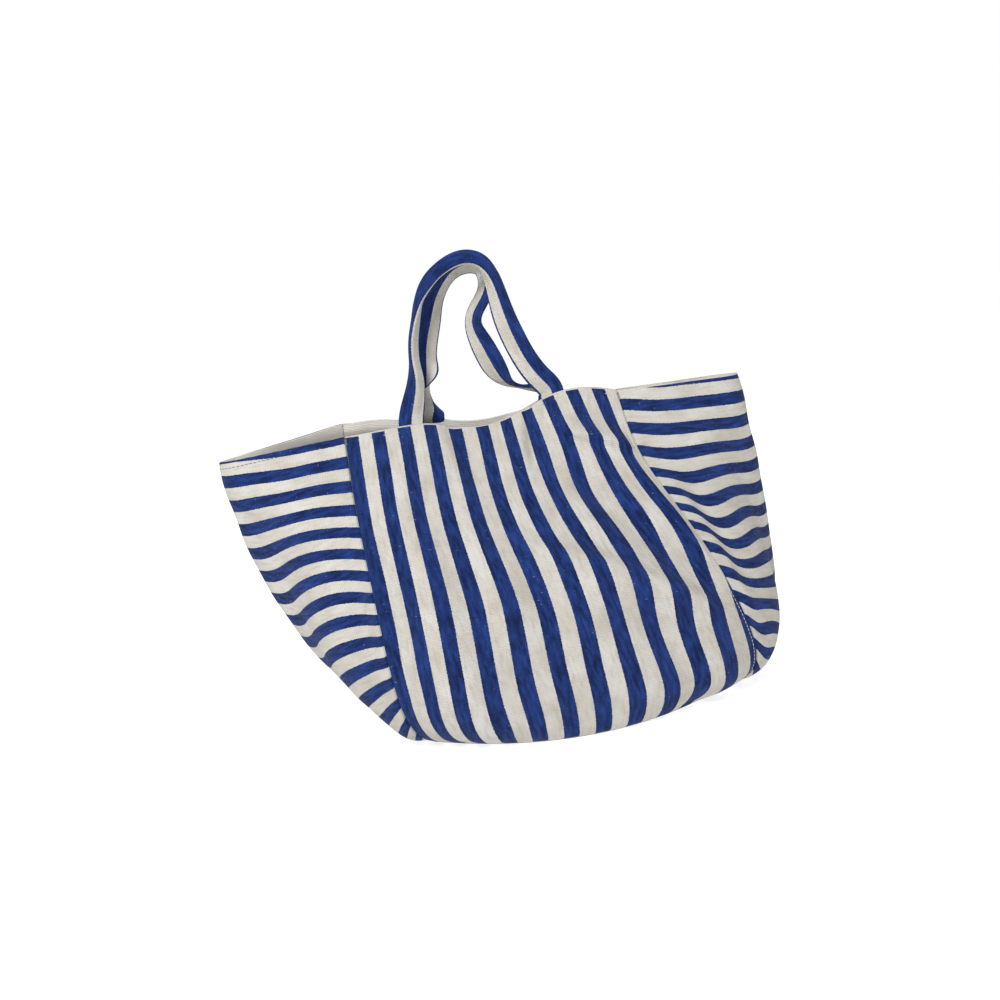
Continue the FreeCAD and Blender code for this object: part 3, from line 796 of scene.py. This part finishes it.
# the stripes, and the folds, hollows and rolls of every wall
front.stripes = front.u + stripe_shift(front, FRONT_STRIPE_PLACES, FRONT_STRIPE_SHIFT, False)
back.stripes = back.u + stripe_shift(back, FRONT_STRIPE_PLACES, FRONT_STRIPE_SHIFT, False) * 0.5
left.stripes = left.v + stripe_shift(left, LEFT_STRIPE_PLACES, LEFT_STRIPE_SHIFT)
right.stripes = right.v + stripe_shift(right, RIGHT_STRIPE_PLACES, RIGHT_STRIPE_SHIFT)

for wall, ridges, hollows in ((front, FRONT_FOLDS, FRONT_HOLLOWS), (left, LEFT_FOLDS, ()),
                              (right, RIGHT_FOLDS, ()), (back, BACK_FOLDS, BACK_HOLLOWS)):
    amount = np.zeros(wall.u.shape)
    for start, end, width, height, far_width, fade in ridges:
        amount += fold(wall.u, wall.v, np.array(start) * MM, np.array(end) * MM, width * MM, height * MM,
                       far_width * MM, fade)
    for centre, radii, height, angle in hollows:
        amount += dent(wall.u, wall.v, np.array(centre) * MM, np.array(radii) * MM, height * MM, angle)
    calm = smoothstep(0, SEAM_CALM, np.minimum(wall.u, wall.width - wall.u)) \
        * smoothstep(0, BASE_CALM, wall.height - wall.v)
    amount += ripple(wall.u, wall.v, 80 * MM, 0.7 * MM, 3) + ripple(wall.u, wall.v, 34 * MM, 0.25 * MM, 4)
    wall.push(amount * calm)

striped_panel = canvas_material("striped_canvas_upright", "v", 0.0, rim="cream")
striped_left = canvas_material("striped_canvas_left_end", "u", 24 * MM - END_STRIPE_PAIR / 4, 0.5,
                               END_STRIPE_PAIR, "blue")
striped_right = canvas_material("striped_canvas_right_end", "u", 20 * MM - END_STRIPE_PAIR / 4, 0.5,
                                END_STRIPE_PAIR, "cream")
striped_strap = canvas_material("striped_canvas_strap", "v", STRAP_WIDTH * 0.49, 0.575, STRAP_WIDTH)
# painted light: the inner cloths' cream is lightened against the shade inside the bag
cream_canvas = plain_canvas_material("cream_canvas", INSIDE_CREAM_LIGHTENED, CREAM)
thread = plain_canvas_material("cotton_thread", THREAD_COLOUR, CREAM_TAN)
blue_thread = plain_canvas_material("blue_cotton_thread", THREAD_BLUE, BLUE)

canvas("front_cloth", front, striped_panel, ["front_panel"])
canvas("back_cloth", back, striped_panel, ["back_panel"])
canvas("left_end_cloth", left, striped_left, ["left_gusset"])
canvas("right_end_cloth", right, striped_right, ["right_gusset"])

for wall_name, wall, lining_node in (("front", front, "front_lining"), ("back", back, "back_lining"),
                                     ("left", left, "left_gusset_lining"),
                                     ("right", right, "right_gusset_lining")):
    offset = 0 if wall_name in ("front", "back") else END_INNER_SHIFT
    inner_cloth(wall_name + "_facing_cloth", wall, 0.0, FACING_HEIGHT, FACING_OFFSET + offset,
                cream_canvas, [wall_name + "_top_facing"])
    inner_cloth(wall_name + "_lining_cloth", wall, FACING_HEIGHT - LINING_OVERLAP,
                PANEL_HEIGHT - LINING_FOOT, LINING_OFFSET + offset, cream_canvas, [lining_node])

base_sheet("base_cloth", 0.5 * MM, 0.0, CANVAS, striped_panel, ["base_panel"])
base_sheet("base_lining_cloth", 14 * MM, 2.0 * MM, LINING, cream_canvas,
           ["base_lining"], 0.5 * MM)

# ---- straps, each from its sewn-in ends on the bag up over the rim into its loop -----------------
for name, route, wall, seed in (("front_handle", FRONT_HANDLE, front, 21),
                                ("back_handle", BACK_HANDLE, back, 22)):
    nodes = [name, name + "_left_end", name + "_right_end"]
    for piece in strap(name + "_strap", route, wall, striped_strap, {"cream": thread, "blue": blue_thread},
                       nodes, seed):
        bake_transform(piece)

# ---- stitching ----------------------------------------------------------------------------------
left_seams, right_seams = [], []
for wall in (front, back):
    left_seams += seam_line_places(wall, column_distance=SEAM_STITCH)
    right_seams += seam_line_places(wall, column_distance=-SEAM_STITCH)
rim_blue = seam_line_places(left, rim_distance=RIM_STITCH)
rim_cream = seam_line_places(right, rim_distance=RIM_STITCH)
for wall in (front, back):
    for place in seam_line_places(wall, rim_distance=RIM_STITCH):
        on_blue = wall_stripe(wall, place[0], RIM_STITCH) % STRIPE_PAIR < STRIPE_PAIR / 2
        (rim_blue if on_blue else rim_cream).append(place)
for name, places, yarn in (("left_seam_stitching", left_seams, blue_thread),
                           ("right_seam_stitching", right_seams, thread),
                           ("rim_stitching_blue", rim_blue, blue_thread),
                           ("rim_stitching_cream", rim_cream, thread)):
    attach(stitches(name, places, yarn), "bag")

tacks = []
for wall in (front, back):
    normals = wall.normals()
    for share in (TACK_SHARE, 1 - TACK_SHARE):
        index = int(share * (len(wall.across) - 1))
        for distance in np.arange(TACK_TOP, TACK_FOOT, TACK_PITCH):
            row = np.argmin(np.abs(wall.v[:, 0] - distance))
            beside = np.cross(normals[row, index], (0, 0, 1))
            tacks.append((wall.points[row, index] + normals[row, index] * 0.2 * MM,
                          beside / np.linalg.norm(beside), normals[row, index]))
tack_piece = stitches("seam_top_tack_threads", tacks, thread)
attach(tack_piece, "bag")
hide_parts("seam_top_tacks")

# ---- floor, light and camera --------------------------------------------------------------------
FLOOR = 12.0
FLOOR_HEIGHT = -0.4 * MM           # just under the bag, so the two don't share a plane
floor_mesh = bpy.data.meshes.new("floor")
floor_mesh.from_pydata([(x, y, FLOOR_HEIGHT) for x, y in ((-FLOOR, -FLOOR), (FLOOR, -FLOOR),
                                                          (FLOOR, FLOOR), (-FLOOR, FLOOR))],
                       [], [(0, 1, 2, 3)])
floor = bpy.data.objects.new("floor", floor_mesh)
bpy.context.scene.collection.objects.link(floor)
paper = Nodes("pale_paper")
paper.shader.inputs["Base Color"].default_value = (0.45, 0.45, 0.45, 1)
paper.shader.inputs["Roughness"].default_value = 0.9
paper.shader.inputs["Emission Color"].default_value = (1.0, 1.0, 1.0, 1)
paper.shader.inputs["Emission Strength"].default_value = 0.82
floor_mesh.materials.append(paper.material)

world = bpy.data.worlds.new("studio")
world.use_nodes = True
world.node_tree.nodes["Background"].inputs["Color"].default_value = (1.0, 1.0, 1.0, 1)
backdrop = world.node_tree.nodes["Background"].inputs["Strength"]
seen = world.node_tree.nodes.new("ShaderNodeLightPath")
level = world.node_tree.nodes.new("ShaderNodeMapRange")
level.inputs["To Min"].default_value = 0.40       # lights the bag
level.inputs["To Max"].default_value = 1.0        # seen behind it
world.node_tree.links.new(seen.outputs["Is Camera Ray"], level.inputs["Value"])
world.node_tree.links.new(level.outputs[0], backdrop)
bpy.context.scene.world = world
bpy.context.scene.view_settings.view_transform = "Standard"


def area_light(name, place, target, size, power):
    data = bpy.data.lights.new(name, "AREA")
    data.size = size
    data.energy = power
    lamp = bpy.data.objects.new(name, data)
    lamp.location = place
    lamp.rotation_euler = (Vector(target) - Vector(place)).to_track_quat("-Z", "Y").to_euler()
    bpy.context.scene.collection.objects.link(lamp)


middle = Vector(((cad_box[0][0] + cad_box[1][0]) / 2, 0, (cad_box[0][2] + cad_box[1][2]) / 2))
area_light("key", (-0.85, -1.4, 1.7), middle, 0.6, 46)
area_light("fill", (1.5, -1.2, 0.8), middle, 1.6, 3)
area_light("back", (0.5, 1.9, 1.3), middle, 1.6, 30)

CAMERA_AZIMUTH, CAMERA_ELEVATION, CAMERA_ROLL = (math.radians(angle) for angle in (-9, 10, 7.5))
CAMERA_DISTANCE = 1.05
CAMERA_TARGET = Vector((-0.045, 0.0, 0.2175))
turn, lift = CAMERA_AZIMUTH, CAMERA_ELEVATION
camera_back = Vector((math.sin(turn) * math.cos(lift), -math.cos(turn) * math.cos(lift), math.sin(lift)))
level_right = Vector((math.cos(turn), math.sin(turn), 0))
level_up = camera_back.cross(level_right)
camera_right = level_right * math.cos(CAMERA_ROLL) - level_up * math.sin(CAMERA_ROLL)
camera_up = level_right * math.sin(CAMERA_ROLL) + level_up * math.cos(CAMERA_ROLL)
lens = bpy.data.cameras.new("camera")
lens.sensor_width = 36
lens.lens = lens.sensor_width * 1.010
camera = bpy.data.objects.new("camera", lens)
place = CAMERA_TARGET + camera_back * CAMERA_DISTANCE
camera.matrix_world = Matrix.Translation(place) @ \
    Matrix((camera_right, camera_up, camera_back)).transposed().to_4x4()
bpy.context.scene.collection.objects.link(camera)
bpy.context.scene.camera = camera
